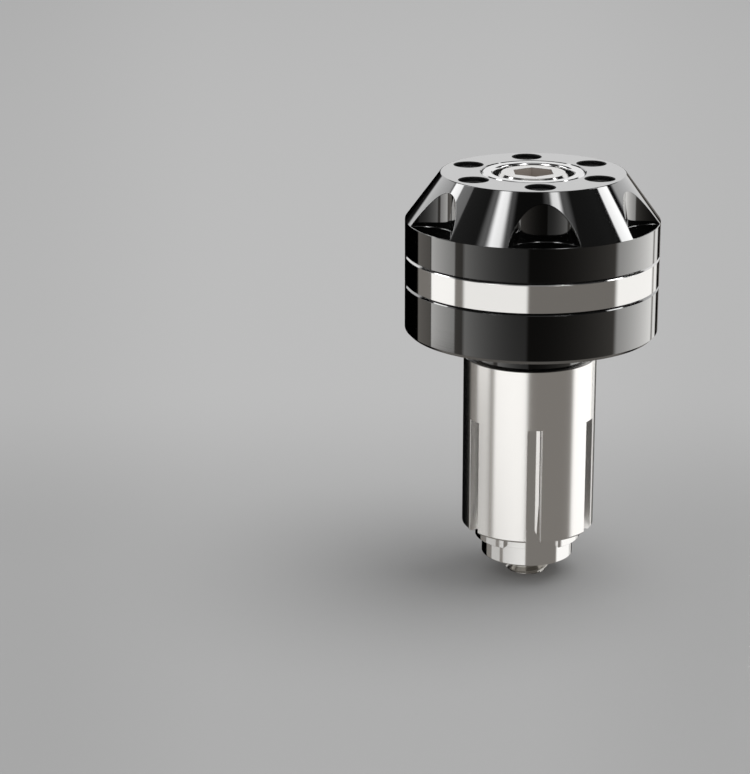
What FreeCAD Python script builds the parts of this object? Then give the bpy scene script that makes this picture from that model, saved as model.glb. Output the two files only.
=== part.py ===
"""Bar end weight for a handlebar with a 22 mm tube, in millimetres.

A turned head in three layers sits against the end of the bar. Below it a slotted
steel sleeve goes into the bar, and a long cap screw through the middle draws a
three jawed wedge up into the sleeve's mouth, which spreads the sleeve in the bore.
The wedge's thin skirt slides in the sleeve and is what one sees through the slots.

The frame has +Z along the axis, from the sleeve up to the head. Its origin is on
the axis, in the plane of the sleeve's top rim. One screw of the head, one pocket
and one slot face -Y, and the rest follow every sixty degrees.
"""
import FreeCAD, Part
import math
import os
from FreeCAD import Vector

# Head: three layers of one diameter, and the cone that ends in the flat face
head_radius = 17.0
rear_ring_height = 6.7
accent_ring_height = 4.0
cap_band_height = 4.65
cap_cone_height = 6.35
cap_face_radius = 12.3
rear_edge_chamfer = 0.5
joint_chamfer = 0.2
face_edge_chamfer = 0.12

# Pockets milled into the cone, one behind each small screw
sector_count = 6
pocket_radius = 5.1
pocket_centre_radius = 18.4
pocket_floor_above_shoulder = 0.4

# Six small cap screws that hold the layers together
screw_circle_radius = 9.55
screw_radius = 1.0
screw_length = 16.0
screw_head_radius = 1.78
screw_head_height = 2.0
screw_head_recess = 0.45
screw_head_chamfer = 0.2
screw_socket_flats = 1.5
screw_socket_depth = 1.0
screw_head_gap = 0.15
screw_shank_gap = 0.1
screw_hole_chamfer = 0.12
screw_thread_gap = 0.02
screw_thread_spare = 1.0

# Hub of the rear body, which centres the accent ring and the cap
hub_radius = 7.4
hub_gap = 0.1
hub_above_accent_ring = 1.7
hub_chamfer = 0.3

# Bush in the cap, with the floor that the centre screw bears on
bush_radius = 6.85
bush_gap = 0.1
bush_bore_radius = 5.36
bush_edge_chamfer = 0.2
bush_hole_gap = 0.2

# Spring washer under the centre screw's head
washer_radius = 4.95
washer_thickness = 1.6
washer_gap = 0.1
washer_slit_width = 0.8
washer_slit_slant = 30.0

# Centre screw, M6 x 50 with a hexagon socket
bolt_radius = 3.0
bolt_length = 50.0
bolt_head_radius = 4.95
bolt_head_height = 6.0
bolt_head_recess = 0.2
bolt_head_chamfer = 0.7
bolt_tip_chamfer = 0.5
bolt_socket_flats = 5.0
bolt_socket_depth = 3.2
bolt_socket_chamfer = 0.25
bolt_drill_point_slope = 0.5
bolt_way_gap = 0.3

# Neck between the head and the sleeve, and the spigot that carries the sleeve
neck_radius = 8.3
neck_height = 3.35
neck_chamfer = 0.2
spigot_length = 5.0
spigot_gap = 0.02

# Expanding sleeve
sleeve_radius = 9.0
sleeve_length = 24.2
sleeve_bore_radius = 6.65
sleeve_top_chamfer = 0.1
sleeve_edge_chamfer = 0.3
slot_width = 2.0
slot_length = 16.0
slot_edge_chamfer = 0.15
mouth_taper_depth = 4.5

# Wedge: a nut with three tapered jaws, and a thin skirt that slides in the sleeve's bore
jaw_count = 3
jaw_radius = 7.2
jaw_angle = 58.0
jaw_below_sleeve = 1.7
jaw_gap = 0.25
nut_radius = 6.24
nut_below_jaws = 2.6
nut_height = 5.0
nut_edge_chamfer = 0.12
skirt_gap = 0.2
skirt_wall = 0.6
skirt_above_slots = 1.0
skirt_chamfer = 0.2
thread_gap = 0.05

# Margin by which every cutter runs past the face it cuts
overcut = 1.0

# Heights along the axis, all counted from the sleeve's top rim
head_bottom = neck_height
accent_bottom = head_bottom + rear_ring_height
cap_bottom = accent_bottom + accent_ring_height
shoulder = cap_bottom + cap_band_height
face = shoulder + cap_cone_height
hub_top = cap_bottom + hub_above_accent_ring
bolt_top = face - bolt_head_recess
bolt_seat = bolt_top - bolt_head_height
bush_floor = bolt_seat - washer_thickness
bolt_tip = bolt_seat - bolt_length
screw_top = face - screw_head_recess
screw_seat = screw_top - screw_head_height
screw_tip = screw_seat - screw_length
sleeve_end = -sleeve_length
slot_top = sleeve_end + slot_length
jaw_bottom = sleeve_end - jaw_below_sleeve
nut_bottom = jaw_bottom - nut_below_jaws
nut_top = nut_bottom + nut_height
skirt_top = slot_top + skirt_above_slots

# Radii that follow from a neighbour and its clearance
bush_seat_radius = bush_radius + bush_gap
hub_seat_radius = hub_radius + hub_gap
bolt_way_radius = bolt_radius + bolt_way_gap
bush_hole_radius = bolt_radius + bush_hole_gap
mouth_radius = jaw_radius + jaw_gap
thread_radius = bolt_radius + thread_gap
skirt_radius = sleeve_bore_radius - skirt_gap
skirt_bore_radius = skirt_radius - skirt_wall
jaw_root_radius = skirt_radius - skirt_wall / 2
spigot_radius = sleeve_bore_radius - spigot_gap
screw_way_radius = screw_radius + screw_shank_gap
screw_recess_radius = screw_head_radius + screw_head_gap

UP = Vector(0, 0, 1)
CENTRE = Vector(0, 0, 0)
FRONT = -90.0
SECTOR = 360.0 / sector_count


def turned(outline, angle=360.0):
    """A solid turned about the axis from an outline of (radius, height) points."""
    points = [Vector(radius, 0, height) for radius, height in outline]
    face_of_outline = Part.Face(Part.makePolygon(points + points[:1]))
    return face_of_outline.revolve(CENTRE, UP, angle)


def upright_cylinder(radius, bottom, top, distance=0.0):
    """A cylinder parallel to the axis, at a distance along +X."""
    return Part.makeCylinder(radius, top - bottom, Vector(distance, 0, bottom))


def around(shape, count, first=FRONT):
    """Copies of a shape drawn on +X, spread round the axis from the first direction."""
    copies = []
    for number in range(count):
        copy = shape.copy()
        copy.rotate(CENTRE, UP, first + number * 360.0 / count)
        copies.append(copy)
    return copies


def hexagon_cutter(flats, bottom, top, distance=0.0):
    """A six sided prism with one corner pointing along -Y and one along +Y."""
    corner = flats / 2 / math.cos(math.pi / 6)
    points = []
    for number in range(6):
        angle = math.radians(FRONT) + number * math.pi / 3
        points.append(Vector(distance + corner * math.cos(angle), corner * math.sin(angle), bottom))
    return Part.Face(Part.makePolygon(points + points[:1])).extrude(UP * (top - bottom))


def hole_with_edge_chamfer(radius, bottom, top, chamfer, distance):
    """A drill that also breaks the edge where it leaves the face at the top."""
    drill = upright_cylinder(radius, bottom, top + overcut, distance)
    flare = Part.makeCone(radius, radius + 2 * chamfer, 2 * chamfer, Vector(distance, 0, top - chamfer))
    return drill.fuse(flare)


def front_cap():
    """Cone shaped cap with six milled pockets and the recesses of the six screws."""
    blank = turned([
        (hub_seat_radius, cap_bottom),
        (head_radius - joint_chamfer, cap_bottom),
        (head_radius, cap_bottom + joint_chamfer),
        (head_radius, shoulder),
        (cap_face_radius, face),
        (bush_seat_radius + face_edge_chamfer, face),
        (bush_seat_radius, face - face_edge_chamfer),
        (bush_seat_radius, hub_top),
        (hub_seat_radius, hub_top),
    ])
    pocket = upright_cylinder(
        pocket_radius, shoulder + pocket_floor_above_shoulder, face + overcut, pocket_centre_radius)
    recess = hole_with_edge_chamfer(
        screw_recess_radius, screw_seat, face, screw_hole_chamfer, screw_circle_radius)
    way = upright_cylinder(screw_way_radius, cap_bottom - overcut, screw_seat + overcut, screw_circle_radius)
    cutters = around(pocket, sector_count) + around(recess.fuse(way), sector_count)
    return blank.cut(cutters)


def accent_ring():
    """Plain ring between the cap and the rear body, drilled for the six screws."""
    blank = turned([
        (hub_seat_radius, accent_bottom),
        (head_radius - joint_chamfer, accent_bottom),
        (head_radius, accent_bottom + joint_chamfer),
        (head_radius, cap_bottom - joint_chamfer),
        (head_radius - joint_chamfer, cap_bottom),
        (hub_seat_radius, cap_bottom),
    ])
    way = upright_cylinder(
        screw_way_radius, accent_bottom - overcut, cap_bottom + overcut, screw_circle_radius)
    return blank.cut(around(way, sector_count))


def rear_body():
    """Rear layer of the head in one piece with its hub, the neck and the spigot."""
    blank = turned([
        (bolt_way_radius, -spigot_length),
        (spigot_radius - neck_chamfer, -spigot_length),
        (spigot_radius, neck_chamfer - spigot_length),
        (spigot_radius, 0),
        (neck_radius - neck_chamfer, 0),
        (neck_radius, neck_chamfer),
        (neck_radius, head_bottom),
        (head_radius - rear_edge_chamfer, head_bottom),
        (head_radius, head_bottom + rear_edge_chamfer),
        (head_radius, accent_bottom - joint_chamfer),
        (head_radius - joint_chamfer, accent_bottom),
        (hub_radius, accent_bottom),
        (hub_radius, hub_top - hub_chamfer),
        (hub_radius - hub_chamfer, hub_top),
        (bolt_way_radius, hub_top),
    ])
    thread = upright_cylinder(
        screw_radius + screw_thread_gap, screw_tip - screw_thread_spare, accent_bottom + overcut,
        screw_circle_radius)
    return blank.cut(around(thread, sector_count))


def cap_screws():
    """Six small socket head screws, sunk in the face of the cap."""
    screw = turned([
        (0, screw_tip),
        (screw_radius, screw_tip),
        (screw_radius, screw_seat),
        (screw_head_radius, screw_seat),
        (screw_head_radius, screw_top - screw_head_chamfer),
        (screw_head_radius - screw_head_chamfer, screw_top),
        (0, screw_top),
    ])
    socket = hexagon_cutter(screw_socket_flats, screw_top - screw_socket_depth, screw_top + overcut)
    screw = screw.cut(socket)
    screw.translate(Vector(screw_circle_radius, 0, 0))
    return Part.makeCompound(around(screw, sector_count))


def centre_bush():
    """Bright cup in the middle of the cap, whose floor rests on the hub."""
    return turned([
        (bush_hole_radius, hub_top),
        (bush_radius, hub_top),
        (bush_radius, face - bush_edge_chamfer),
        (bush_radius - bush_edge_chamfer, face),
        (bush_bore_radius + bush_edge_chamfer, face),
        (bush_bore_radius, face - bush_edge_chamfer),
        (bush_bore_radius, bush_floor),
        (bush_hole_radius, bush_floor),
    ])


def spring_washer():
    """Square section spring washer, pressed flat, with its slanting slit."""
    ring = turned([
        (bolt_radius + washer_gap, bush_floor),
        (washer_radius, bush_floor),
        (washer_radius, bolt_seat),
        (bolt_radius + washer_gap, bolt_seat),
    ])
    reach = washer_thickness + overcut
    slit = Part.makeBox(
        washer_radius + overcut, washer_slit_width, 2 * reach,
        Vector(0, -washer_slit_width / 2, -reach))
    slit.rotate(CENTRE, Vector(1, 0, 0), washer_slit_slant)
    slit.translate(Vector(0, 0, (bush_floor + bolt_seat) / 2))
    return ring.cut(slit)


def centre_bolt():
    """Long socket head cap screw that pulls the wedge up."""
    blank = turned([
        (0, bolt_tip),
        (bolt_radius - bolt_tip_chamfer, bolt_tip),
        (bolt_radius, bolt_tip + bolt_tip_chamfer),
        (bolt_radius, bolt_seat),
        (bolt_head_radius, bolt_seat),
        (bolt_head_radius, bolt_top - bolt_head_chamfer),
        (bolt_head_radius - bolt_head_chamfer, bolt_top),
        (0, bolt_top),
    ])
    socket_floor = bolt_top - bolt_socket_depth
    socket = hexagon_cutter(bolt_socket_flats, socket_floor, bolt_top + overcut)
    drill_point_depth = bolt_socket_flats / 2 * bolt_drill_point_slope
    drill_point = Part.makeCone(0, bolt_socket_flats / 2, drill_point_depth)
    drill_point.translate(Vector(0, 0, socket_floor - drill_point_depth))
    mouth_cone_radius = bolt_socket_flats / 2 + 2 * bolt_socket_chamfer
    mouth_cone = Part.makeCone(0, mouth_cone_radius, mouth_cone_radius)
    mouth_cone.translate(Vector(0, 0, bolt_top - mouth_cone_radius))
    return blank.cut([socket, drill_point, mouth_cone])


def expander_sleeve():
    """Sleeve with a closed collar above six tongues, whose mouth is tapered inside."""
    collar = turned([
        (sleeve_bore_radius, slot_top),
        (sleeve_radius, slot_top),
        (sleeve_radius, -sleeve_top_chamfer),
        (sleeve_radius - sleeve_top_chamfer, 0),
        (sleeve_bore_radius, 0),
    ])
    tongues = turned([
        (sleeve_bore_radius, slot_top),
        (sleeve_radius, slot_top),
        (sleeve_radius, sleeve_end + sleeve_edge_chamfer),
        (sleeve_radius - sleeve_edge_chamfer, sleeve_end),
        (mouth_radius, sleeve_end),
        (sleeve_bore_radius, sleeve_end + mouth_taper_depth),
    ])
    half_slot = slot_width / 2
    inner = sleeve_radius - slot_edge_chamfer
    outer = sleeve_radius + overcut
    half_flare = half_slot + (outer - inner)
    section = [(0, -half_slot), (inner, -half_slot), (outer, -half_flare),
               (outer, half_flare), (inner, half_slot), (0, half_slot)]
    points = [Vector(x, y, sleeve_end - overcut) for x, y in section]
    slot_floor = Part.Face(Part.makePolygon(points + points[:1]))
    slot = slot_floor.extrude(UP * (slot_length + overcut))
    return collar.fuse(tongues.cut(around(slot, sector_count)))


def wedge():
    """Nut with three jaws that spread the tongues, and a skirt that keeps it straight."""
    nut_and_skirt = turned([
        (thread_radius + nut_edge_chamfer, nut_bottom),
        (nut_radius - nut_edge_chamfer, nut_bottom),
        (nut_radius, nut_bottom + nut_edge_chamfer),
        (nut_radius, jaw_bottom),
        (skirt_radius, jaw_bottom),
        (skirt_radius, skirt_top - skirt_chamfer),
        (skirt_radius - skirt_chamfer, skirt_top),
        (skirt_bore_radius, skirt_top),
        (skirt_bore_radius, nut_top),
        (thread_radius, nut_top),
        (thread_radius, nut_bottom + nut_edge_chamfer),
    ])
    taper = (mouth_radius - sleeve_bore_radius) / mouth_taper_depth
    jaw_top = sleeve_end + (jaw_radius - skirt_radius) / taper
    jaw = turned([
        (jaw_root_radius, jaw_bottom),
        (jaw_radius, jaw_bottom),
        (jaw_radius, sleeve_end),
        (skirt_radius, jaw_top),
        (jaw_root_radius, jaw_top),
    ], jaw_angle)
    first_jaw = FRONT + SECTOR - jaw_angle / 2
    return nut_and_skirt.fuse(around(jaw, jaw_count, first_jaw)).removeSplitter()


os.makedirs("parts", exist_ok=True)
NODES = [front_cap, accent_ring, rear_body, cap_screws, centre_bush,
         spring_washer, centre_bolt, expander_sleeve, wedge]
for make in NODES:
    make().exportStep("parts/" + make.__name__ + ".step")
print("total length", round(face - bolt_tip, 2), "mm, head diameter", 2 * head_radius, "mm")
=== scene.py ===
"""Bar end weight: how its turned and polished pieces look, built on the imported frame."""
import math
import bpy
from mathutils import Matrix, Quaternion, Vector
from mathutils.geometry import normal as face_normal
from mathutils.geometry import tessellate_polygon


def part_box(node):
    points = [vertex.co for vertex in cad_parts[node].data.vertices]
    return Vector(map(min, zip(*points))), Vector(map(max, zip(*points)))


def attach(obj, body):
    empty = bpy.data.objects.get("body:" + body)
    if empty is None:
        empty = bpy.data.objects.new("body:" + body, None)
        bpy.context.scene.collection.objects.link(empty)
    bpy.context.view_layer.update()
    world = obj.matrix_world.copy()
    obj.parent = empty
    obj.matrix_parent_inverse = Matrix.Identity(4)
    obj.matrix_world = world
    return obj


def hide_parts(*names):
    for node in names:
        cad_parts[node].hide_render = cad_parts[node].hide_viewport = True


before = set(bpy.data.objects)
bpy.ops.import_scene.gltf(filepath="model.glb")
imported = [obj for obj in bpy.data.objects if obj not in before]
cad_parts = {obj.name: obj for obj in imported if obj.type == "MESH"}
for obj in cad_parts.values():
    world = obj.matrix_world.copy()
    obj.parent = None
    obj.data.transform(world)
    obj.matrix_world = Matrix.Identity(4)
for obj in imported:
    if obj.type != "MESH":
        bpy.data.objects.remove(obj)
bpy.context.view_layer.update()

# Camera, a little above the head and looking down along the part.
# It is a long lens, and the part's turn about its own axis is the photograph's.
MM = 0.001
camera_place = Vector((-30.82, -314.28, 93.31)) * MM
camera_heading = math.radians(88.216)
camera_pitch = math.radians(-17.293)
camera_roll = math.radians(-0.109)
focal_length_in_pixels = 2425.5
frame_height_in_pixels = 774
sensor_width = 36.0

lens_data = bpy.data.cameras.new("camera")
lens_data.sensor_width = sensor_width
lens_data.lens = focal_length_in_pixels / frame_height_in_pixels * sensor_width
lens_data.clip_start = 0.01
camera = bpy.data.objects.new("camera", lens_data)
bpy.context.scene.collection.objects.link(camera)
view_line = Vector((
    math.cos(camera_heading) * math.cos(camera_pitch),
    math.sin(camera_heading) * math.cos(camera_pitch),
    math.sin(camera_pitch)))
turn_of_camera = view_line.to_track_quat("-Z", "Y")
turn_of_camera.rotate(Quaternion(view_line, -camera_roll))
camera.rotation_mode = "QUATERNION"
camera.rotation_quaternion = turn_of_camera
camera.location = camera_place
bpy.context.scene.camera = camera
bpy.context.scene.view_settings.view_transform = "Standard"


# Studio: pale floor with painted shade, soft light from above and a surround of large panels.
# The panels are what the polished metal mirrors; the plain light stays even, and the floor's colour has
# painted shade near the part and at the sides of the view.
floor_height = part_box("centre_bolt")[0].z
floor_reach = 4.0
surround_turn = math.atan2(camera_place.x, -camera_place.y)
plain_light = 0.58
backdrop_level = 0.47


class Wire:
    """An output of a node. Arithmetic with it adds Math nodes to its tree."""

    def __init__(self, tree, socket):
        self.tree = tree
        self.socket = socket

    def maths(self, operation, *terms):
        return node(self.tree, "ShaderNodeMath", {"operation": operation}, dict(enumerate(terms)))

    def pick(self, name):
        return Wire(self.tree, self.socket.node.outputs[name])

    def __add__(self, other):
        return self.maths("ADD", self, other)

    def __radd__(self, other):
        return self.maths("ADD", other, self)

    def __sub__(self, other):
        return self.maths("SUBTRACT", self, other)

    def __rsub__(self, other):
        return self.maths("SUBTRACT", other, self)

    def __mul__(self, other):
        return self.maths("MULTIPLY", self, other)

    def __rmul__(self, other):
        return self.maths("MULTIPLY", other, self)

    def __truediv__(self, other):
        return self.maths("DIVIDE", self, other)

    def __pow__(self, other):
        return self.maths("POWER", self, other)


def node(tree, kind, settings=(), sockets=()):
    """A node of any kind: its settings first, then the values or wires of its sockets."""
    made = tree.nodes.new(kind)
    for name, value in dict(settings).items():
        setattr(made, name, value)
    for name, value in dict(sockets).items():
        if isinstance(value, Wire):
            tree.links.new(value.socket, made.inputs[name])
        else:
            made.inputs[name].default_value = value
    return Wire(tree, made.outputs[0]) if made.outputs else made


world = bpy.data.worlds.new("studio")
bpy.context.scene.world = world
world.use_nodes = True
studio = world.node_tree
studio.nodes.clear()
way = node(studio, "ShaderNodeTexCoord").pick("Generated")
parts_of_way = node(studio, "ShaderNodeSeparateXYZ", (), {0: way})
across = parts_of_way.pick("X")
along = parts_of_way.pick("Y")
upward = parts_of_way.pick("Z")
bearing = across.maths("ARCTAN2", across, 0 - along) - surround_turn
bearing = bearing.maths("WRAP", bearing, math.pi, -math.pi) * math.degrees(1)
height = upward.maths("ARCSINE", upward) * math.degrees(1)


def ramp(value, start, end):
    """Goes smoothly from nought at the start to one at the end."""
    span = {"From Min": min(start, end), "From Max": max(start, end), "Value": value,
            "To Min": float(start > end), "To Max": float(start < end)}
    return node(value.tree, "ShaderNodeMapRange", {"interpolation_type": "SMOOTHSTEP"}, span)


def panel(level, left, right, low, high, soft=2.0, soft_height=3.0):
    """Light of one panel, which spans from left to right and low to high in degrees."""
    wide = ramp(bearing, left - soft / 2, left + soft / 2) * ramp(bearing, right + soft / 2, right - soft / 2)
    tall = ramp(height, low - soft_height / 2, low + soft_height / 2)
    tall = tall * ramp(height, high + soft_height / 2, high - soft_height / 2)
    return wide * tall * level


# Level, left, right, low and high of each panel; bearing nought is at the camera.
low_surround = [
    panel(0.21, -124, -103, -40, 0),
    panel(1.17, -102, -72.5, -16.6, 0, soft_height=1),
    panel(0.22, -102, -72.5, -18.7, -16.6, soft_height=1),
    panel(0.52, -102, -72.5, -40, -18.7, soft_height=1.4),
    panel(0.23, -72.5, -63, -40, 0),
    panel(1.00, -63, -3, -16.8, 0, soft=4, soft_height=0.6),
    panel(1.1, -63, -3, -19.8, -16.8, soft=4, soft_height=0.6),
    panel(0.52 + 0.27 * ramp(bearing, -90, -5), -63, -3, -40, -19.8, soft=4),
    panel(0.185, -3, 82, -40, 0, soft=4),
    panel(1.12, 82, 140, -20.6, 0, soft=6),
    panel(0.98, 82, 140, -40, -20.6, soft=6),
    panel(0.95, 143, 153, -40, 0, soft=5),
    panel(0.15, 165, 180, -40, 0),
]
back_wall = [
    panel(0.8, -181, -119, 8, 27),
    panel(0.82, 117, 163, 0, 27),
    panel(0.8, 163, 181, 8, 27),
]
upper_panels = [
    panel(3.2, -118.5, -107, 20, 50),
    panel(0.6, -107, -93, 20, 50),
    panel(3.8, 100, 113.5, 20, 50),
    panel(11.5, -54, -38, 40, 66, soft=8),
    panel(1.0, -64, -28, 40, 66, soft=8),
    panel(11.0, 30, 44, 40, 66, soft=7),
    panel(0.9, 20, 56, 40, 66, soft=10),
    panel(0.06, -104, -54, 30, 72, soft=24),
    panel(0.04, -54, 30, 36, 72, soft=24),
    panel(0.05, 40, 72, 30, 72, soft=20),
    panel(0.04, 72, 98, 30, 72, soft=20),
]
# The floor isn't mirrored itself, so the glow from right below the part is given here.
underfoot = 0.18 * ramp(height, -35, -45)
overhead = 0.3 * ramp(height, 64, 72)
sky_glow = 0.01 * ramp(height, 0, 5)
mirrored = underfoot + overhead + sky_glow
for light in low_surround + back_wall + upper_panels:
    mirrored = mirrored + light
ray = node(studio, "ShaderNodeLightPath")
seen = ray.pick("Is Camera Ray")
glossy = ray.pick("Is Glossy Ray")
plain = seen * backdrop_level + (1 - seen) * plain_light
# The low surround is a little warm, and its darker parts are more so.
low_down = ramp(height, 4, 0)
warmth = ramp(mirrored, 0.6, 0.2)
green_loss = low_down * (0.01 + 0.05 * warmth)
blue_loss = low_down * (0.035 + 0.1 * warmth)
red_level = glossy * mirrored + (1 - glossy) * plain
green_level = glossy * mirrored * (1 - green_loss) + (1 - glossy) * plain
blue_level = glossy * mirrored * (1 - blue_loss) + (1 - glossy) * plain
tinted = node(studio, "ShaderNodeCombineXYZ", (), {"X": red_level, "Y": green_level, "Z": blue_level})
sky = node(studio, "ShaderNodeBackground", (), {"Color": tinted, "Strength": 1.0})
node(studio, "ShaderNodeOutputWorld", (), {"Surface": sky})


def new_finish(name):
    """A fresh material with an empty tree."""
    finish = bpy.data.materials.new(name)
    finish.use_nodes = True
    finish.node_tree.nodes.clear()
    return finish


# Painted shade: the floor's colour is darker from just behind the part towards the camera than far behind it,
# and darker towards the sides of the view.
painted_shade_near_level = 0.42
far_level = 0.5
near_distance = 0.325
far_distance = 0.4
painted_edge_shade = 0.075
middle_of_view = 0.06
edge_of_view = 0.16
floor_finish = new_finish("pale_floor_painted_shade")
floor_tree = floor_finish.node_tree
on_floor = node(floor_tree, "ShaderNodeTexCoord").pick("Object")
on_floor = node(floor_tree, "ShaderNodeVectorMath", {"operation": "SUBTRACT"}, {0: on_floor, 1: camera_place})
on_floor = node(floor_tree, "ShaderNodeSeparateXYZ", (), {0: on_floor})
forward = on_floor.pick("X") * math.cos(camera_heading) + on_floor.pick("Y") * math.sin(camera_heading)
sideways = on_floor.pick("X") * math.sin(camera_heading) - on_floor.pick("Y") * math.cos(camera_heading)
aside = sideways / forward
aside = aside.maths("ABSOLUTE", aside)
# The painted shade: the floor's level falls from the far level to the near level, and falls again towards the
# sides of the view.
floor_level_with_painted_shade = painted_shade_near_level + (far_level - painted_shade_near_level) * ramp(forward, near_distance, far_distance)
floor_level_with_painted_shade = floor_level_with_painted_shade * (1 - painted_edge_shade * ramp(aside, middle_of_view, edge_of_view))
floor_colour_with_painted_shade = node(floor_tree, "ShaderNodeCombineColor", (), dict.fromkeys(range(3), floor_level_with_painted_shade))
floor_shader = node(floor_tree, "ShaderNodeBsdfDiffuse", (), {"Color": floor_colour_with_painted_shade})
node(floor_tree, "ShaderNodeOutputMaterial", (), {"Surface": floor_shader})
floor_mesh = bpy.data.meshes.new("floor")
corners_of_square = [(-1, -1), (1, -1), (1, 1), (-1, 1)]
floor_corners = [(x * floor_reach, y * floor_reach, floor_height) for x, y in corners_of_square]
floor_mesh.from_pydata(floor_corners, [], [range(4)])
floor_mesh.materials.append(floor_finish)
floor = bpy.data.objects.new("floor", floor_mesh)
bpy.context.scene.collection.objects.link(floor)
floor.visible_glossy = False

lamp_width = 1.2
lamp_power = 10.5
lamp_place = Vector((0.4, 0.05, 1.3))
lamp_data = bpy.data.lights.new("soft_top_light", "AREA")
lamp_data.shape = "DISK"
lamp_data.size = lamp_width
lamp_data.energy = lamp_power
lamp = bpy.data.objects.new("soft_top_light", lamp_data)
bpy.context.scene.collection.objects.link(lamp)
lamp.location = lamp_place
lamp.rotation_euler = (-lamp_place).to_track_quat("-Z", "Y").to_euler()
lamp.visible_glossy = False


# Rear body: black anodised aluminium, turned in one piece with its hub and neck.
# It is the layer that bears on the bar, and it carries the sleeve on its spigot.
FRONT = -math.pi / 2
SECTORS = 6
SECTOR = 2 * math.pi / SECTORS
head_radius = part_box("rear_body")[1].x / MM
rear_edge_chamfer = 0.5
joint_chamfer = 0.2
broken_edge = 0.06
head_bottom = 3.35
accent_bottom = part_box("accent_ring")[0].z / MM
hub_radius = 7.4
hub_chamfer = 0.3
hub_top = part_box("rear_body")[1].z / MM
neck_radius = 8.3
neck_chamfer = 0.2
spigot_radius = 6.63
spigot_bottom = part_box("rear_body")[0].z / MM
bolt_way_radius = 3.3
screw_circle_radius = 9.55
rear_thread_radius = 1.02
rear_thread_bottom = 5.6
sheen_curve = 1.25
sheen_at_edge = 0.98
sheen_face_on = 0.003
weld_digits = 3
UP = Vector((0, 0, 1))
DOWN = Vector((0, 0, -1))


class Shell:
    """A closed skin in millimetres that is welded as it grows, with a true normal at each corner."""

    def __init__(self):
        self.places = {}
        self.points = []
        self.faces = []
        self.normals = []
        self.coats = []
        self.coat = 0

    def place(self, point):
        """Index of the point, the same for points that lie together."""
        key = tuple(round(value, weld_digits) + 0.0 for value in point)
        if key not in self.places:
            self.places[key] = len(self.points)
            self.points.append(Vector(point) * MM)
        return self.places[key]

    def face(self, points, normals):
        """One face, turned so that it looks the way its normals do. Slivers are left out."""
        corners = {}
        for point, corner_normal in zip(points, normals):
            corners.setdefault(self.place(point), corner_normal)
        corners = list(corners.items())
        if len(corners) < 3:
            return
        looks = face_normal([self.points[index] / MM for index, _ in corners])
        if looks.length < 0.5:
            return
        if looks.dot(sum((Vector(n) for _, n in corners), Vector())) < 0:
            corners.reverse()
        self.faces.append([index for index, _ in corners])
        self.coats.append(self.coat)
        self.normals.extend(n for _, n in corners)

    def grid(self, rows, normals):
        """Faces between rows of points, with a row of normals for each."""
        for upper, lower, upper_normals, lower_normals in zip(rows, rows[1:], normals, normals[1:]):
            for k in range(len(upper) - 1):
                self.face([upper[k], upper[k + 1], lower[k + 1], lower[k]],
                          [upper_normals[k], upper_normals[k + 1], lower_normals[k + 1], lower_normals[k]])

    def plate(self, loops, looks):
        """A flat face inside the first loop and outside the others."""
        corners = [point for loop in loops for point in loop]
        for triangle in tessellate_polygon(loops):
            self.face([corners[index] for index in triangle], [looks] * 3)

    def turn(self, strips, angles_at, centre=(0.0, 0.0)):
        """Strips of a section turned about an upright line.

        The angles are a list, or a function that gives the list for a radius."""
        for strip in strips:
            rows = []
            normals = []
            for radius, z, out, up in strip:
                angles = angles_at(radius) if callable(angles_at) else angles_at
                rows.append([spot(radius, angle, z, centre) for angle in angles])
                normals.append([spot(out, angle, up) for angle in angles])
            self.grid(rows, normals)

    def mesh(self, name):
        """The skin as a mesh, with its normals."""
        mesh = bpy.data.meshes.new(name)
        mesh.from_pydata(self.points, [], self.faces)
        mesh.polygons.foreach_set("use_smooth", [True] * len(self.faces))
        mesh.polygons.foreach_set("material_index", self.coats)
        mesh.normals_split_custom_set([tuple(n) for n in self.normals])
        return mesh

    def finish(self, name, finishes, body, slot, *nodes):
        """The piece itself, in place of the plain nodes that it stands for."""
        mesh = self.mesh(name)
        for finish in finishes:
            mesh.materials.append(finish)
        piece = bpy.data.objects.new(name, mesh)
        bpy.context.scene.collection.objects.link(piece)
        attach(piece, body)
        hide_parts(*nodes)
        return piece


def spot(radius, angle, z, centre=(0.0, 0.0)):
    """A point by its radius, angle and height round an upright line."""
    return Vector((centre[0] + radius * math.cos(angle), centre[1] + radius * math.sin(angle), z))


def round_angles(count, first=FRONT, span=2 * math.pi):
    """Angles from the first one on, evenly spaced, with both ends."""
    return [first + span * k / count for k in range(count + 1)]


def section(outline, steps=4):
    """Strips of a closed section of (radius, height, rounding) corners.

    There is a list of strips for each corner: those of its rounding, and last the
    straight one after it. A strip is two ends, each with radius, height and normal."""
    size = len(outline)
    corners = [Vector(corner[:2]) for corner in outline]
    area = sum(a.x * b.y - b.x * a.y for a, b in zip(corners, corners[1:] + corners[:1]))
    side = 1 if area > 0 else -1
    runs = [(corners[(k + 1) % size] - corners[k]).normalized() for k in range(size)]
    outs = [Vector((run.y, -run.x)) * side for run in runs]
    starts = list(corners)
    ends = list(corners)
    strips = [[] for _ in corners]
    for k, (_, _, rounding) in enumerate(outline):
        if not rounding:
            continue
        before, after = outs[k - 1], outs[k]
        bend = before.angle(after)
        reach = rounding * math.tan(bend / 2)
        ends[k] = corners[k] - runs[k - 1] * reach
        starts[k] = corners[k] + runs[k] * reach
        hollow = -1 if before.dot(runs[k]) > 0 else 1
        middle = ends[k] - before * rounding * hollow
        ring = [before.slerp(after, step / steps) for step in range(steps + 1)]
        chain = [(*(middle + out * rounding * hollow), *out) for out in ring]
        strips[k] += zip(chain, chain[1:])
    for k in range(size):
        strips[k].append(((*starts[k], *outs[k]), (*ends[(k + 1) % size], *outs[k])))
    return strips


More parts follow.
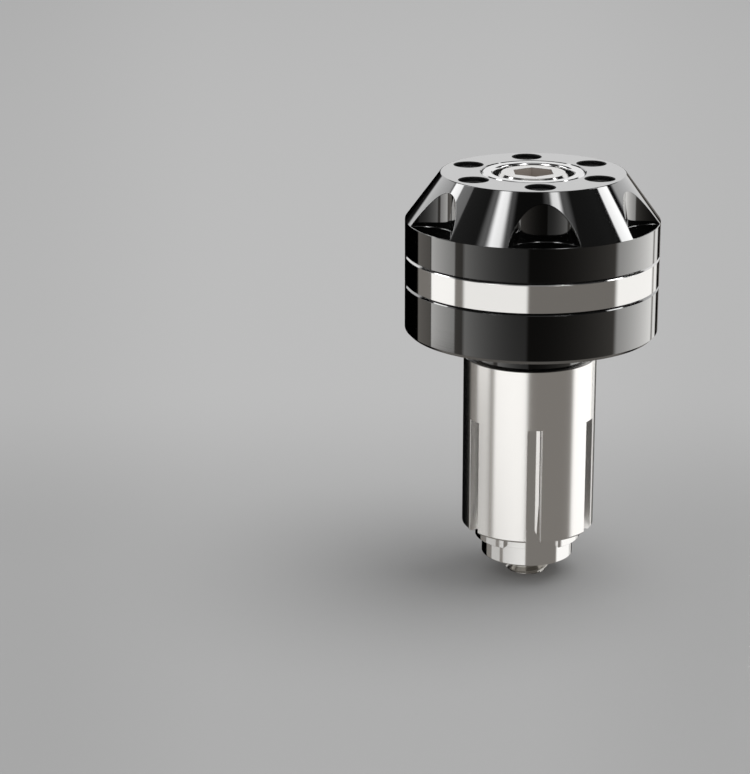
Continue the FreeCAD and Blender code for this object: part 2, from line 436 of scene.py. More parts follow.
def turned_marks(tree, pitch, depth, strength):
    """Fine rings that a turning tool leaves, as a bump round the axis.

    They lie a little closer on flat faces than along the sides."""
    closer_on_faces = 1.3
    where = node(tree, "ShaderNodeTexCoord").pick("Object")
    spread = node(tree, "ShaderNodeSeparateXYZ", (), {0: where})
    x, y, z = spread.pick("X"), spread.pick("Y"), spread.pick("Z")
    from_axis = (x * x + y * y) ** 0.5
    rings = (from_axis * closer_on_faces + z) * (1 / (pitch * MM))
    marks = node(tree, "ShaderNodeTexNoise", {"noise_dimensions": "1D"}, {
        "W": rings, "Scale": 1.0, "Detail": 2.0})
    bump = node(tree, "ShaderNodeBump", (), {
        "Strength": strength, "Distance": depth * MM, "Height": marks})
    return marks, bump


def black_mirror(name, gloss, pitch=0.12, depth=0.002, strength=0.25, spread=0.03):
    """Polished black anodised aluminium: black face on, and a mirror at a slant."""
    finish = new_finish(name)
    tree = finish.node_tree
    marks, bump = turned_marks(tree, pitch, depth, strength)
    slant = node(tree, "ShaderNodeLayerWeight", (), {"Blend": 0.5}).pick("Facing")
    sheen = slant ** sheen_curve * sheen_at_edge + sheen_face_on
    roughness = gloss + marks * spread
    black = node(tree, "ShaderNodeBsdfPrincipled", (), {
        "Base Color": (0.0015, 0.0015, 0.0014, 1.0), "Roughness": 0.6, "Specular IOR Level": 0.0})
    mirror = node(tree, "ShaderNodeBsdfPrincipled", (), {
        "Base Color": (0.95, 0.95, 0.95, 1.0), "Metallic": 1.0, "Roughness": roughness, "Normal": bump})
    mixed = node(tree, "ShaderNodeMixShader", (), {0: sheen, 1: black, 2: mirror})
    node(tree, "ShaderNodeOutputMaterial", (), {"Surface": mixed})
    return finish


def bare_metal(name, colour, gloss, pitch=0.12, depth=0.002, strength=0.3, spread=0.04):
    """Bright turned metal with the tool's fine rings."""
    finish = new_finish(name)
    tree = finish.node_tree
    marks, bump = turned_marks(tree, pitch, depth, strength)
    roughness = gloss + marks * spread
    metal = node(tree, "ShaderNodeBsdfPrincipled", (), {
        "Base Color": (*colour, 1.0), "Metallic": 1.0, "Roughness": roughness, "Normal": bump})
    node(tree, "ShaderNodeOutputMaterial", (), {"Surface": metal})
    return finish


def dull_metal(name, colour, gloss, specular, pitch, depth, strength, spread=0.1):
    """Metal with a dark or dull skin that mirrors little, or a dark painted shade, with the tool's fine
    rings.
    """
    finish = new_finish(name)
    tree = finish.node_tree
    marks, bump = turned_marks(tree, pitch, depth, strength)
    roughness = gloss + marks * spread
    skin = node(tree, "ShaderNodeBsdfPrincipled", (), {
        "Base Color": (*colour, 1.0), "Roughness": roughness, "Specular IOR Level": specular, "Normal": bump})
    node(tree, "ShaderNodeOutputMaterial", (), {"Surface": skin})
    return finish


def hole_spots():
    """Centres of the six screw holes, the first at the front."""
    return [spot(screw_circle_radius, FRONT + k * SECTOR, 0)[:2] for k in range(SECTORS)]


def ring_loop(radius, z, angles, centre=(0.0, 0.0)):
    """Points of one circle as a loop."""
    return [spot(radius, angle, z, centre) for angle in angles[:-1]]


def drilled_ring(shell, ends, looks, angles, hole_radius):
    """A flat ring between the two ends of a strip, with the six screw holes in it."""
    z = ends[0][1]
    loops = [ring_loop(end[0], z, angles) for end in ends]
    loops += [ring_loop(hole_radius, z, around_screw, centre) for centre in hole_spots()]
    shell.plate(loops, looks)


around_head = round_angles(300)
around_screw = round_angles(36)
black_anodised = black_mirror("black_anodised", 0.03)

rear = Shell()
strips = section([
    (bolt_way_radius, spigot_bottom, 0),
    (spigot_radius, spigot_bottom, broken_edge),
    (spigot_radius, 0, 0),
    (neck_radius - neck_chamfer, 0, broken_edge),
    (neck_radius, neck_chamfer, broken_edge),
    (neck_radius, head_bottom, broken_edge),
    (head_radius - rear_edge_chamfer, head_bottom, broken_edge),
    (head_radius, head_bottom + rear_edge_chamfer, broken_edge),
    (head_radius, accent_bottom - joint_chamfer, broken_edge / 2),
    (head_radius - joint_chamfer, accent_bottom, broken_edge / 2),
    (hub_radius, accent_bottom, 0),
    (hub_radius, hub_top - hub_chamfer, broken_edge),
    (hub_radius - hub_chamfer, hub_top, broken_edge),
    (bolt_way_radius, hub_top, 0),
])
# A flat face with holes is taken out of the strips and made as a drilled ring.
top_of_rear = strips[9].pop()
rear.turn(sum(strips, []), around_head)
drilled_ring(rear, top_of_rear, UP, around_head, rear_thread_radius)
for centre in hole_spots():
    wall = ((rear_thread_radius, accent_bottom, -1, 0), (rear_thread_radius, rear_thread_bottom, -1, 0))
    end = ((rear_thread_radius, rear_thread_bottom, 0, 1), (0, rear_thread_bottom, 0, 1))
    rear.turn([wall, end], around_screw, centre)
rear.finish("rear_body_turned", [black_anodised], "housing", "black_anodised", "rear_body")


# Accent ring: aluminium turned and clear anodised, held between the two black layers.
# Both its edges are broken, which leaves the bright lines at the joints.
accent_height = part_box("accent_ring")[1].z / MM - accent_bottom
cap_bottom = accent_bottom + accent_height
hub_seat_radius = 7.5
screw_way_radius = 1.1
silver_anodised = bare_metal("silver_anodised", (0.79, 0.785, 0.78), 0.05)

ring = Shell()
strips = section([
    (hub_seat_radius, accent_bottom, 0),
    (head_radius - joint_chamfer, accent_bottom, broken_edge / 2),
    (head_radius, accent_bottom + joint_chamfer, broken_edge / 2),
    (head_radius, cap_bottom - joint_chamfer, broken_edge / 2),
    (head_radius - joint_chamfer, cap_bottom, broken_edge / 2),
    (hub_seat_radius, cap_bottom, 0),
])
top_of_ring = strips[4].pop()
bottom_of_ring = strips[0].pop()
ring.turn(sum(strips, []), around_head)
drilled_ring(ring, top_of_ring, UP, around_head, screw_way_radius)
drilled_ring(ring, bottom_of_ring, DOWN, around_head, screw_way_radius)
for centre in hole_spots():
    wall = ((screw_way_radius, accent_bottom, -1, 0), (screw_way_radius, cap_bottom, -1, 0))
    ring.turn([wall], around_screw, centre)
ring.finish("accent_ring_turned", [silver_anodised], "housing", "silver_anodised", "accent_ring")


# Front cap: black anodised aluminium, turned to a cone and milled with six pockets.
# Its flat face has the recesses of the six small screws round the seat of the bush.
cap_cone_height = 6.35
cap_face_radius = 12.3
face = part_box("front_cap")[1].z / MM
shoulder = face - cap_cone_height
bush_seat_radius = 6.95
face_edge_chamfer = 0.12
face_rim_rounding = 0.18
pocket_radius = 5.1
pocket_centre_radius = 18.4
pocket_floor_rise = 0.05
pocket_floor = shoulder + pocket_floor_rise
pocket_rim_rounding = 0.14
pocket_foot_rounding = 0.06
pocket_lip_rounding = 0.02
lip_edge_share = 0.08
screw_recess_radius = 1.93
screw_hole_chamfer = 0.12
screw_seat = 22.6
pocket_steps = 18
steps_to_fade = 2
land_steps = 18
cone_run = head_radius - cap_face_radius
cone_out = Vector((cap_cone_height, cone_run)).normalized()


def on_cone(angle, radius):
    """Point of the cone at that angle and radius."""
    return spot(radius, angle, shoulder + (head_radius - radius) / cone_run * cap_cone_height)


def cone_normal(point):
    """Normal of the cone at a point on it."""
    out = Vector((point.x, point.y, 0)).normalized() * cone_out.x
    return Vector((out.x, out.y, cone_out.y))


lip_radius = head_radius - (pocket_floor - shoulder) / cap_cone_height * cone_run
widest = math.acos((pocket_centre_radius ** 2 + pocket_radius ** 2 - lip_radius ** 2)
                   / (2 * pocket_centre_radius * pocket_radius))
sweep = [widest * k / pocket_steps for k in range(-pocket_steps, pocket_steps + 1)]
pocket_plan = [Vector((pocket_centre_radius - pocket_radius * math.cos(s), pocket_radius * math.sin(s)))
               for s in sweep]
pocket_angles = [math.atan2(p.y, p.x) for p in pocket_plan]
land = SECTOR - 2 * pocket_angles[-1]
land_angles = [pocket_angles[-1] + land * k / land_steps for k in range(land_steps + 1)]
sector_angles = pocket_angles[:-1] + land_angles[:-1]
around_cap = [FRONT + k * SECTOR + angle for k in range(SECTORS) for angle in sector_angles]
around_cap.append(around_cap[0] + 2 * math.pi)

black_drilled = dull_metal("black_drilled", (0.006, 0.006, 0.006), 0.5, specular=0.25,
                           pitch=0.15, depth=0.003, strength=0.3)

cap = Shell()
strips = section([
    (hub_seat_radius, cap_bottom, 0),
    (head_radius - joint_chamfer, cap_bottom, broken_edge / 2),
    (head_radius, cap_bottom + joint_chamfer, broken_edge / 2),
    (head_radius, shoulder, broken_edge),
    (cap_face_radius, face, face_rim_rounding),
    (bush_seat_radius + face_edge_chamfer, face, 0),
    (bush_seat_radius, face - face_edge_chamfer, 0),
    (bush_seat_radius, hub_top, 0),
    (hub_seat_radius, hub_top, 0),
])
flat_face = strips[4].pop()
cone_strip = strips[3].pop()
bottom_of_cap = strips[0].pop()
cap.turn(sum(strips, []), around_cap)
chamfer_radius = screw_recess_radius + screw_hole_chamfer
drilled_ring(cap, flat_face, UP, around_cap, chamfer_radius)
drilled_ring(cap, bottom_of_cap, DOWN, around_cap, screw_way_radius)
slope = math.sqrt(0.5)
chamfer_foot = face - screw_hole_chamfer
cap.coat = 1
for centre in hole_spots():
    edge = ((chamfer_radius, face, -slope, slope), (screw_recess_radius, chamfer_foot, -slope, slope))
    recess = ((screw_recess_radius, chamfer_foot, -1, 0), (screw_recess_radius, screw_seat, -1, 0))
    seat = ((screw_recess_radius, screw_seat, 0, 1), (screw_way_radius, screw_seat, 0, 1))
    wall = ((screw_way_radius, screw_seat, -1, 0), (screw_way_radius, cap_bottom, -1, 0))
    cap.turn([edge, recess, seat, wall], around_screw, centre)
cap.coat = 0

cone_low, cone_high = cone_strip


def across_pocket(angle, point, run, inward, taper):
    """Place and normal of each line along a pocket, at one point of its rim.

    They go from the flat face over the rounded rim, down the wall and out over the lip."""
    on_top = cone_normal(point)
    bend = on_top.angle(inward)
    rounding = pocket_rim_rounding * taper
    reach = rounding * math.tan(bend / 2)
    up_cone = on_top.cross(run).normalized()
    if up_cone.dot(inward) > 0:
        up_cone.negate()
    down_wall = inward.cross(run).normalized()
    if down_wall.z > 0:
        down_wall.negate()
    between = (on_top + inward).normalized()
    foot = Vector((point.x, point.y, pocket_floor))
    foot_reach = pocket_foot_rounding * taper
    to_bend = foot_reach * (1 - slope)
    lip = on_cone(angle, lip_radius)
    lip_reach = pocket_lip_rounding * taper
    lip_in = spot(1, angle, 0)
    lip_normal = (cone_normal(lip) + UP).normalized()
    down_cone = (on_cone(angle, head_radius) - lip).normalized()
    return {
        "top": (spot(cone_high[0], angle, cone_high[1]), on_top),
        "cone": (point + up_cone * reach, on_top),
        "edge": (point - between * rounding * (1 / math.cos(bend / 2) - 1), between),
        "wall": (point + down_wall * reach, inward),
        "foot": (foot + UP * foot_reach, inward),
        "foot_edge": (foot + (UP + inward) * to_bend, (UP + inward).normalized()),
        "floor": (foot + inward * foot_reach, UP),
        "lip": (lip - lip_in * lip_reach, UP),
        "lip_edge": (lip - lip_normal * lip_reach * lip_edge_share, lip_normal),
        "lip_cone": (lip + down_cone * lip_reach, cone_normal(lip)),
        "low": (spot(cone_low[0], angle, cone_low[1]), cone_normal(lip)),
    }


# Each sector is a pocket and, after it, the land that is left of the cone.
for sector in range(SECTORS):
    facing = FRONT + sector * SECTOR
    lands = [facing + angle for angle in land_angles]
    columns = [[spot(cone_low[0], angle, cone_low[1]) for angle in lands],
               [on_cone(angle, lip_radius) for angle in lands],
               [spot(cone_high[0], angle, cone_high[1]) for angle in lands]]
    cap.grid(columns, [[cone_normal(point) for point in row] for row in columns])

    pocket = [facing + angle for angle in pocket_angles]
    rim = [on_cone(angle, plan.length) for angle, plan in zip(pocket, pocket_plan)]
    axis = spot(pocket_centre_radius, facing, 0)
    lines = []
    for k, (angle, point) in enumerate(zip(pocket, rim)):
        following = rim[min(k + 1, len(rim) - 1)]
        earlier = rim[max(k - 1, 0)]
        run = (following - earlier).normalized()
        inward = Vector((axis.x - point.x, axis.y - point.y, 0)).normalized()
        taper = min(1.0, (pocket_steps - abs(k - pocket_steps)) / steps_to_fade)
        lines.append(across_pocket(angle, point, run, inward, taper))
    for strip in (("top", "cone"),
                  ("cone", "edge", "wall", "foot", "foot_edge", "floor", "lip"),
                  ("lip", "lip_edge", "lip_cone"),
                  ("lip_cone", "low")):
        cap.grid([[line[name][0] for line in lines] for name in strip],
                 [[line[name][1] for line in lines] for name in strip])
cap.finish("front_cap_milled", [black_anodised, black_drilled], "housing", "black_anodised", "front_cap")


# Cap screws: six small socket head screws of black steel, knurled round their heads.
# They are sunk in the cap's face and hold its three layers together.
screw_radius = 1.0
screw_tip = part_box("cap_screws")[0].z / MM
screw_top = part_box("cap_screws")[1].z / MM
screw_head_radius = 1.78
screw_head_chamfer = 0.2
knurl_depth = 0.05
knurl_teeth = 40
knurl_foot = 0.1
knurl_at_foot = 0.6
knurl_fade = 0.4
knurl_at_top = 0.3
screw_socket_flats = 1.5
screw_socket_depth = 1.0
screw_point_depth = 0.2
drill_point_slope = 0.2
socket_bevel = 0.04
hexagon_step = math.pi / 3
tiny = 1e-6


def hexagon_reach(flats, angle):
    """Distance from the middle to a hexagon's side at that angle, with corners at the front and back."""
    off_flat = (angle - FRONT + hexagon_step) % hexagon_step - hexagon_step / 2
    return flats / 2 / math.cos(off_flat)


def flat_of_hexagon(angle):
    """Inward normal of the hexagon's side at that angle."""
    side = math.floor((angle - FRONT) / hexagon_step + tiny)
    towards = FRONT + (side + 0.5) * hexagon_step
    return spot(-1, towards, 0)


def socket_mouth(flats, bevel, top, angles):
    """Rim of a hexagon socket, as a loop."""
    return [spot(hexagon_reach(flats + 2 * bevel, angle), angle, top) for angle in angles[:-1]]


def socket(shell, flats, bevel, top, bottom, angles, point_depth, coat_inside=0):
    """A hexagon socket with a fine bevel at its rim and the drill's point at its bottom."""
    for angle, following in zip(angles, angles[1:]):
        pair = (angle, following)
        middle = (angle + following) / 2
        flat = flat_of_hexagon(middle)
        taper = [(flat + UP).normalized()] * 2
        reaches = [hexagon_reach(flats, a) for a in pair]
        mouth = [spot(hexagon_reach(flats + 2 * bevel, a), a, top) for a in pair]
        edge = [spot(reach, a, top - bevel) for reach, a in zip(reaches, pair)]
        foot = [spot(reach, a, bottom) for reach, a in zip(reaches, pair)]
        shell.coat = 0
        shell.grid([mouth, edge], [taper, taper])
        shell.coat = coat_inside
        shell.grid([edge, foot], [[flat] * 2] * 2)
        centre = spot(0, 0, bottom - point_depth)
        point_looks = [spot(-drill_point_slope, a, 1).normalized() for a in pair]
        shell.grid([foot, [centre, centre]], [point_looks] * 2)
    shell.coat = 0


screw_black = dull_metal("screw_black", (0.012, 0.012, 0.012), 0.22, specular=0.6,
                         pitch=0.08, depth=0.002, strength=0.2)

screw = Shell()
around_socket = round_angles(48)
plain_radius = screw_head_radius - knurl_depth
knurl_angles = round_angles(2 * knurl_teeth)
tip = ((0, screw_tip, 0, -1), (screw_radius, screw_tip, 0, -1))
shank = ((screw_radius, screw_tip, 1, 0), (screw_radius, screw_seat, 1, 0))
screw.turn([tip, shank], knurl_angles)
# Every second point stands out by the knurl's depth, or by a share of it near the ends.
head_rows = []
for z, share in ((screw_seat, knurl_at_foot),
                 (screw_seat + knurl_foot, 1.0),
                 (screw_top - screw_head_chamfer, 1.0),
                 (screw_top - screw_head_chamfer * knurl_fade, knurl_at_top)):
    head_rows.append([spot(plain_radius + (knurl_depth * share if k % 2 else 0), angle, z)
                      for k, angle in enumerate(knurl_angles)])
for upper, lower in zip(head_rows, head_rows[1:]):
    for k in range(len(upper) - 1):
        corners = [upper[k], upper[k + 1], lower[k + 1], lower[k]]
        looks = face_normal(corners)
        if looks.dot(upper[k].xy.to_3d()) < 0:
            looks.negate()
        screw.face(corners, [looks] * 4)
under = ring_loop(screw_radius, screw_seat, knurl_angles)
screw.plate([head_rows[0][:-1], under], DOWN)
shoulder_row = [spot(plain_radius - screw_head_chamfer, angle, screw_top) for angle in knurl_angles]
slant_normals = [spot(1, angle, 1).normalized() for angle in knurl_angles]
screw.grid([head_rows[-1], shoulder_row], [slant_normals, slant_normals])
mouth_loop = socket_mouth(screw_socket_flats, socket_bevel, screw_top, around_socket)
screw.plate([shoulder_row[:-1], mouth_loop], UP)
socket(screw, screw_socket_flats, socket_bevel, screw_top, screw_top - screw_socket_depth, around_socket,
       screw_point_depth)
one_screw = screw.mesh("one_cap_screw")

pattern = bpy.data.node_groups.new("screws_on_a_circle", "GeometryNodeTree")
pattern.interface.new_socket("Geometry", in_out="INPUT", socket_type="NodeSocketGeometry")
count_input = pattern.interface.new_socket("Number of screws", in_out="INPUT", socket_type="NodeSocketInt")
radius_input = pattern.interface.new_socket("Circle radius", in_out="INPUT", socket_type="NodeSocketFloat")
first_input = pattern.interface.new_socket("First direction", in_out="INPUT", socket_type="NodeSocketFloat")
finish_input = pattern.interface.new_socket("Finish", in_out="INPUT", socket_type="NodeSocketMaterial")
pattern.interface.new_socket("Geometry", in_out="OUTPUT", socket_type="NodeSocketGeometry")
given = pattern.nodes.new("NodeGroupInput")
one, count, circle_radius, first_direction, finish_given = [Wire(pattern, given.outputs[k]) for k in range(5)]
circle = node(pattern, "GeometryNodeMeshCircle", (), {"Vertices": count, "Radius": circle_radius})
facing_out = node(pattern, "GeometryNodeInputPosition")
turn_of_screw = node(pattern, "FunctionNodeAlignRotationToVector", {"axis": "X"}, {"Vector": facing_out})
spread_out = node(pattern, "GeometryNodeInstanceOnPoints", (), {
    "Points": circle, "Instance": one, "Rotation": turn_of_screw})
first_turn = node(pattern, "ShaderNodeCombineXYZ", (), {"Z": first_direction})
turned_round = node(pattern, "GeometryNodeTransform", (), {"Geometry": spread_out, "Rotation": first_turn})
joined = node(pattern, "GeometryNodeRealizeInstances", (), {"Geometry": turned_round})
coloured = node(pattern, "GeometryNodeSetMaterial", (), {"Geometry": joined, "Material": finish_given})
result = pattern.nodes.new("NodeGroupOutput")
pattern.links.new(coloured.socket, result.inputs[0])


def plain_mesh_of(name, mesh, group, values):
    """Mesh that a tree of geometry nodes makes, as a plain object without its modifier."""
    carrier = bpy.data.objects.new(name, mesh)
    bpy.context.scene.collection.objects.link(carrier)
    modifier = carrier.modifiers.new("pattern", "NODES")
    modifier.node_group = group
    for identifier, value in values.items():
        modifier[identifier] = value
    made = carrier.evaluated_get(bpy.context.evaluated_depsgraph_get())
    plain = bpy.data.meshes.new_from_object(made)
    carrier.modifiers.clear()
    carrier.data = plain
    return carrier


cap_screws = plain_mesh_of("cap_screws_knurled", one_screw, pattern, {
    count_input.identifier: SECTORS,
    radius_input.identifier: screw_circle_radius * MM,
    first_input.identifier: FRONT,
    finish_input.identifier: screw_black,
})
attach(cap_screws, "housing")
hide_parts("cap_screws")


# Centre bush: a cup of bright turned steel, pressed into the middle of the cap.
# Its floor rests on the hub and takes the load of the centre screw's head.
bush_radius = 6.85
bush_bore_radius = 5.36
bush_edge_chamfer = 0.2
bush_lip_rounding = 0.3
bush_foot_rounding = 0.1
bush_hole_radius = 3.2
bush_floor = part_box("spring_washer")[0].z / MM
bush_steel = bare_metal("bush_steel", (0.94, 0.94, 0.94), 0.06)
# The bore, its floor and the hole for the screw are painted near black, as painted shade in the gap round the
# screw's head.
bore_painted_shade = dull_metal("bore_painted_shade", (0.02, 0.02, 0.019), 0.5, specular=0.3,
                         pitch=0.2, depth=0.004, strength=0.3)

bush = Shell()
strips = section([
    (bush_hole_radius, hub_top, 0),
    (bush_radius, hub_top, 0),
    (bush_radius, face - bush_edge_chamfer, broken_edge),
    (bush_radius - bush_edge_chamfer, face, broken_edge),
    (bush_bore_radius + bush_edge_chamfer, face, bush_lip_rounding),
    (bush_bore_radius, face - bush_edge_chamfer, bush_lip_rounding),
    (bush_bore_radius, bush_floor, bush_foot_rounding),
    (bush_hole_radius, bush_floor, 0),
])
around_bush = round_angles(180)
bored = [strips[5].pop(), *strips[6], *strips[7]]
bush.turn(sum(strips[:6], []), around_bush)
# Painted shade: the bored faces take the near black finish.
bush.coat = 1
bush.turn(bored, around_bush)
bush.finish("centre_bush_turned", [bush_steel, bore_painted_shade], "housing", "bush_steel", "centre_bush")


# Spring washer: square section steel under the screw's head, pressed flat.
# Only its edge shows, down in the gap between the head and the bush.
# The washer's steel is painted dark grey, as painted shade down in the gap.
washer_steel = bare_metal("washer_steel", (0.3, 0.295, 0.285), 0.3)
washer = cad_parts["spring_washer"]
washer.data.materials.clear()
washer.data.materials.append(washer_steel)


# Centre screw: bright steel M6 with a socket head, long enough to reach the wedge.
# The lower part of its shank has a rolled thread, and its tip stands out below the wedge.
bolt_radius = 3.0
bolt_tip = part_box("centre_bolt")[0].z / MM
bolt_below_face = 0.06
bolt_top = face - bolt_below_face
bolt_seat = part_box("spring_washer")[1].z / MM
bolt_head_radius = 4.95
bolt_head_chamfer = 0.7
bolt_head_rounding = 1.2
bolt_socket_flats = 5.0
bolt_socket_depth = 3.2
bolt_point_depth = 1.25
thread_length = 24.0
thread_pitch = 1.0
thread_root_radius = 2.39
thread_tip_radius = 2.5
thread_top = bolt_tip + thread_length
rolled_steel = bare_metal("rolled_steel", (0.5, 0.485, 0.46), 0.14, pitch=0.3, depth=0.004)
bolt_steel = bare_metal("bolt_steel", (0.88, 0.87, 0.85), 0.1, strength=0.2)
socket_steel = dull_metal("socket_steel", (0.4, 0.355, 0.32), 0.45, specular=0.5,
                          pitch=0.3, depth=0.01, strength=0.4)

bolt = Shell()
around_bolt = round_angles(96)
strips = section([
    (0, thread_top, 0),
    (bolt_radius, thread_top, 0),
    (bolt_radius, bolt_seat, 0),
    (bolt_head_radius, bolt_seat, broken_edge),
    (bolt_head_radius, bolt_top - bolt_head_chamfer, bolt_head_rounding),
    (bolt_head_radius - bolt_head_chamfer, bolt_top, 2 * broken_edge),
    (0, bolt_top, 0),
])
# The thread closes the shank, and the head's face is a plate round the socket's mouth.
del strips[0][-1]
face_of_head = strips[5].pop()
del strips[6][-1]
bolt.turn(sum(strips, []), around_bolt)
rim_of_head = face_of_head[0][0]
bolt.plate([ring_loop(rim_of_head, bolt_top, around_bolt),
            socket_mouth(bolt_socket_flats, socket_bevel, bolt_top, around_bolt)], UP)
socket(bolt, bolt_socket_flats, socket_bevel, bolt_top, bolt_top - bolt_socket_depth, around_bolt,
       bolt_point_depth, coat_inside=1)

# Share of the pitch and radius there: the root's flat, then the crest's.
thread_profile = [
    (0.0, thread_root_radius), (0.12, thread_root_radius),
    (0.5, bolt_radius), (0.62, bolt_radius),
]
turns = int(thread_length / thread_pitch) + 2


def tip_radius(share):
    """Radius of the thread's cut end after that share of a turn."""
    phase = -share % 1.0
    for (start, low), (end, high) in zip(thread_profile, thread_profile[1:] + [(1.0, thread_root_radius)]):
        if phase <= end:
            cut = low + (high - low) * (phase - start) / (end - start)
            return min(cut, thread_tip_radius)


end_rim = [tip_radius(k / (len(around_bolt) - 1)) for k in range(len(around_bolt))]
# The crest climbs by one pitch a turn, fades out at the top and is cut off at the tip.
rows = []
bolt.coat = 2
for turn in range(-1, turns):
    for phase, radius in thread_profile:
        row = []
        for k, angle in enumerate(around_bolt):
            z = bolt_tip + thread_pitch * (turn + phase + k / (len(around_bolt) - 1))
            if z <= bolt_tip:
                row.append(spot(end_rim[k], angle, bolt_tip))
                continue
            z = min(z, thread_top)
            run_out = min(1.0, max(0.0, (z - thread_top + thread_pitch) / thread_pitch))
            cut = radius + (bolt_radius - radius) * run_out
            row.append(spot(min(cut, thread_tip_radius + z - bolt_tip), angle, z))
        rows.append(row)
for lower, upper in zip(rows, rows[1:]):
    for k in range(len(lower) - 1):
        corners = [lower[k], lower[k + 1], upper[k + 1], upper[k]]
        rise = max(upper[k].z - lower[k].z, tiny)
        swell = upper[k].xy.length - lower[k].xy.length
        looks = [Vector((p.x, p.y, 0)).normalized() * rise - Vector((0, 0, swell)) for p in corners]
        bolt.face(corners, [look.normalized() for look in looks])
end_loop = [spot(radius, angle, bolt_tip) for radius, angle in zip(end_rim[:-1], around_bolt)]
bolt.plate([end_loop], DOWN)
bolt.finish("centre_screw_threaded", [bolt_steel, socket_steel, rolled_steel],
            "bolt", "bolt_steel", "centre_bolt")


# Expanding sleeve: polished stainless tube on the rear body's spigot, cut by six slots
# from its lower end, so that the tongues between them can spread in the bar's bore.
sleeve_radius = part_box("expander_sleeve")[1].x / MM
sleeve_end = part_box("expander_sleeve")[0].z / MM
sleeve_bore_radius = 6.65
sleeve_top_chamfer = 0.1
sleeve_edge_chamfer = 0.3
slot_half_width = 1.0
slot_length = 16.0
slot_top = sleeve_end + slot_length
slot_edge_chamfer = 0.08
mouth_radius = 7.45
mouth_taper_depth = 4.5
tongue_steps = 36
slot_steps = 4
sleeve_steel = bare_metal("sleeve_steel", (0.985, 0.975, 0.965), 0.17)
milled_steel = bare_metal("milled_steel", (0.93, 0.92, 0.91), 0.26, pitch=0.05, depth=0.001, strength=0.1)
flare_foot = sleeve_radius - slot_edge_chamfer
flare_radius = math.hypot(flare_foot, slot_half_width)


def tongue_start(radius):
    """Angle from the middle of a slot to the tongue's edge, which is flared near the rim."""
    offset = slot_half_width - flare_foot
    flared = (math.sqrt(2 * radius ** 2 - offset ** 2) + offset) / 2
    return math.asin(max(flared, slot_half_width) / radius)


def angles_of_slot(middle, radius):
    """Angles across one slot at that radius."""
    start = tongue_start(radius)
    return round_angles(slot_steps, middle - start, 2 * start)


def angles_of_tongue(middle, radius):
    """Angles across the tongue that follows the slot, at that radius."""
    start = tongue_start(radius)
    return round_angles(tongue_steps, middle + start, SECTOR - 2 * start)


def angles_of_collar(radius):
    """Angles all the way round, with a point wherever a slot or a tongue starts."""
    angles = []
    for k in range(SECTORS):
        middle = FRONT + k * SECTOR
        angles += angles_of_slot(middle, radius)[:-1] + angles_of_tongue(middle, radius)[:-1]
    return angles + [angles[0] + 2 * math.pi]


# The collar, open at the bottom, where the slots end and the tongues go on.
sleeve = Shell()
strips = section([
    (sleeve_bore_radius, slot_top, 0),
    (sleeve_radius, slot_top, 0),
    (sleeve_radius, -sleeve_top_chamfer, broken_edge / 2),
    (sleeve_radius - sleeve_top_chamfer, 0, broken_edge / 2),
    (sleeve_bore_radius, 0, broken_edge),
])
del strips[0][-1]
sleeve.turn(sum(strips, []), angles_of_collar)

# One tongue's section, open at the top; the slots' flare runs out on the end's chamfer.
chamfer_top = sleeve_end + sleeve_edge_chamfer
strips = section([
    (sleeve_bore_radius, slot_top, 0),
    (sleeve_radius, slot_top, 0),
    (sleeve_radius, chamfer_top, broken_edge),
    (flare_radius, chamfer_top - sleeve_radius + flare_radius, 0),
    (sleeve_radius - sleeve_edge_chamfer, sleeve_end, broken_edge),
    (mouth_radius, sleeve_end, broken_edge),
    (sleeve_bore_radius, sleeve_end + mouth_taper_depth, broken_edge),
])
del strips[0][-1]
tongue = sum(strips, [])
tongue_outline = [tongue[0][0]] + [end for _, end in tongue]
for k in range(SECTORS):
    middle = FRONT + k * SECTOR
    sleeve.turn(tongue, lambda radius: angles_of_tongue(middle, radius))
    along_slot = Vector((math.cos(middle), math.sin(middle), 0))
    bore_arc, outer_arc = [[spot(radius, angle, slot_top) for angle in angles_of_slot(middle, radius)]
                           for radius in (sleeve_bore_radius, sleeve_radius)]
    feet = {}
    for side in (-1, 1):
        across_slot = Vector((-math.sin(middle), math.cos(middle), 0)) * side
        wall = []
        flare = []
        for radius, z, _, _ in tongue_outline:
            foot = min(math.sqrt(radius ** 2 - slot_half_width ** 2), flare_foot)
            wall.append(along_slot * foot + across_slot * slot_half_width + Vector((0, 0, z)))
            if radius >= flare_radius - tiny:
                flare.append((wall[-1], spot(radius, middle + side * tongue_start(radius), z)))
        feet[side] = wall[0]
        sleeve.coat = 1
        sleeve.plate([wall], -across_slot)
        sleeve.coat = 0
        slant = (along_slot - across_slot).normalized()
        sleeve.grid([[foot for foot, _ in flare], [rim for _, rim in flare]], [[slant] * len(flare)] * 2)
    sleeve.plate([[*bore_arc, feet[1], *outer_arc[::-1], feet[-1]]], DOWN)
sleeve.finish("expander_sleeve_slotted", [sleeve_steel, milled_steel],
              "housing", "sleeve_steel", "expander_sleeve")


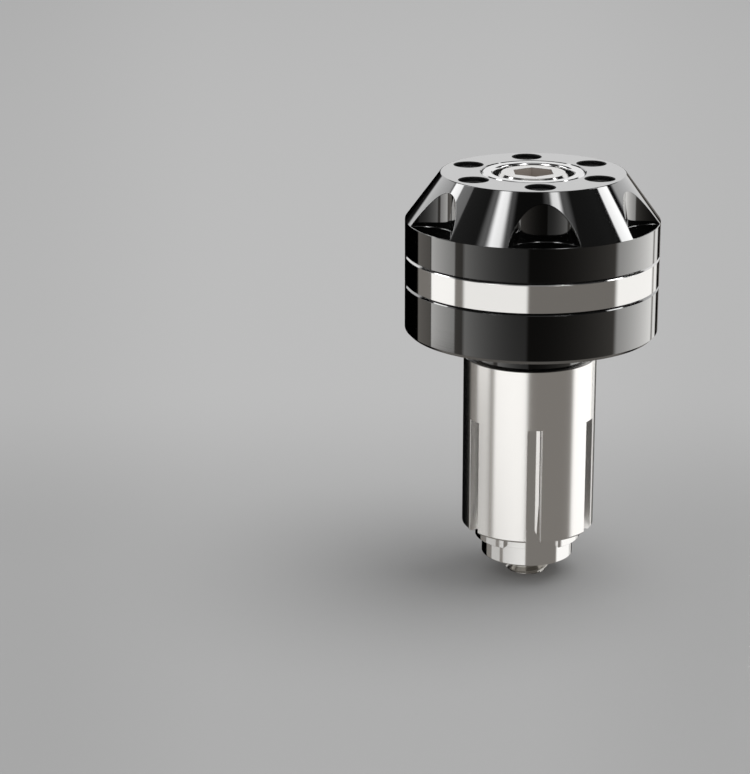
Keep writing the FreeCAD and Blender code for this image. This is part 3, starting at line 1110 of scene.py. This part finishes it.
# Wedge: a bright steel nut with three tapered jaws and a thin skirt, pulled up by the screw.
# The jaws spread the sleeve's tongues against the bar, and the skirt shows in the slots.
nut_radius = 6.24
nut_edge_chamfer = 0.12
nut_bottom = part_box("wedge")[0].z / MM
nut_height = 5.0
nut_top = nut_bottom + nut_height
skirt_radius = 6.45
skirt_bore_radius = 5.85
skirt_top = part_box("wedge")[1].z / MM
skirt_chamfer = 0.2
jaw_radius = 7.2
jaw_root_radius = 6.15
jaw_bottom = -25.9
jaw_top = sleeve_end + (jaw_radius - skirt_radius) / (mouth_radius - sleeve_bore_radius) * mouth_taper_depth
jaw_angle = math.radians(58)
jaw_count = 3
jaw_edge = 0.08
jaw_steps = 28
nut_bore_radius = 3.05
wedge_steel = bare_metal("wedge_steel", (0.95, 0.945, 0.94), 0.07)

wedge = Shell()
around_nut = round_angles(192)
strips = section([
    (nut_bore_radius, nut_bottom + nut_edge_chamfer, 0),
    (nut_bore_radius + nut_edge_chamfer, nut_bottom, 0),
    (nut_radius - nut_edge_chamfer, nut_bottom, broken_edge / 2),
    (nut_radius, nut_bottom + nut_edge_chamfer, broken_edge / 2),
    (nut_radius, jaw_bottom, 0),
    (skirt_radius, jaw_bottom, broken_edge / 2),
    (skirt_radius, skirt_top - skirt_chamfer, broken_edge),
    (skirt_radius - skirt_chamfer, skirt_top, broken_edge),
    (skirt_bore_radius, skirt_top, 0),
    (skirt_bore_radius, nut_top, 0),
    (nut_bore_radius, nut_top, 0),
])
wedge.turn(sum(strips, []), around_nut)


def jaw_section(inset):
    """The jaw's section, all round smaller by the inset."""
    return sum(section([
        (jaw_root_radius, jaw_bottom + inset, 0),
        (jaw_radius - inset, jaw_bottom + inset, broken_edge),
        (jaw_radius - inset, sleeve_end, broken_edge),
        (skirt_radius - inset, jaw_top, 0),
        (jaw_root_radius, jaw_top, 0),
    ]), [])


for k in range(jaw_count):
    jaw_middle = FRONT + SECTOR + k * 2 * SECTOR
    half = jaw_angle / 2 - jaw_edge / jaw_radius
    wedge.turn(jaw_section(0), round_angles(jaw_steps, jaw_middle - half, 2 * half))
    for side in (-1, 1):
        end_angle = jaw_middle + side * jaw_angle / 2
        looks = Vector((-math.sin(end_angle), math.cos(end_angle), 0)) * side
        rim = [spot(start[0], jaw_middle + side * half, start[1]) for start, _ in jaw_section(0)]
        inner_rim = [spot(start[0], end_angle, start[1]) for start, _ in jaw_section(jaw_edge)]
        outs = [(spot(start[2], jaw_middle, start[3]) + looks).normalized() for start, _ in jaw_section(0)]
        rim.append(rim[0])
        inner_rim.append(inner_rim[0])
        outs.append(outs[0])
        wedge.grid([rim, inner_rim], [outs, outs])
        wedge.plate([inner_rim[:-1]], looks)
wedge.finish("wedge_with_jaws", [wedge_steel], "expander", "sleeve_steel", "wedge")
